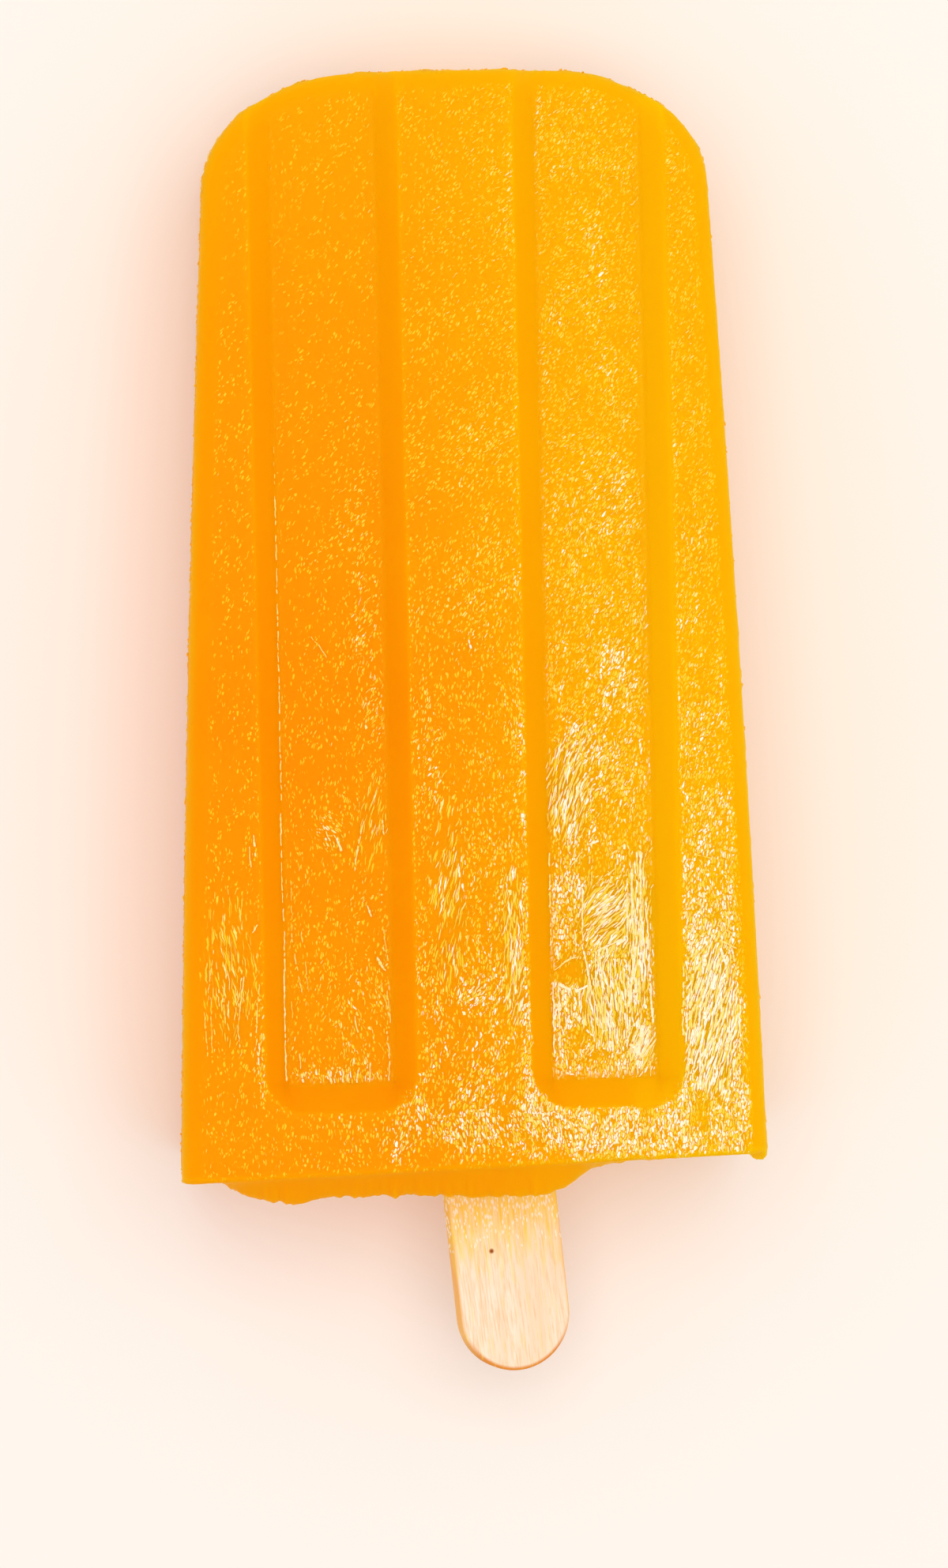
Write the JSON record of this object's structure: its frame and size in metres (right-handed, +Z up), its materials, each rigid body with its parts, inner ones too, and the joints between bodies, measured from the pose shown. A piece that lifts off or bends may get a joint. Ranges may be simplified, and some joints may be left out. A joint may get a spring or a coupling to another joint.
{
  "type": "ice pop",
  "caption": "Slab of orange fruit juice ice with recessed panels, frozen onto a flat wooden stick, lying on its back.",
  "frame": {"origin": "on the surface that the pop lies on, under the middle of its box", "axes": "+Y along the pop from the stick towards the tip, +X across it, +Z up out of its front face"},
  "size_m": [0.0514, 0.115, 0.024],
  "materials": {
    "juice_ice": "opaque frozen fruit juice, smooth where it slopes, with fine pale frost on its flat faces",
    "wooden_stick": "bare pale birch with fine straight grain, stained with juice where it leaves the ice"
  },
  "bodies": {
    "root": {"juice_ice": "juice_ice", "wooden_stick": "wooden_stick"}
  },
  "joints": []
}
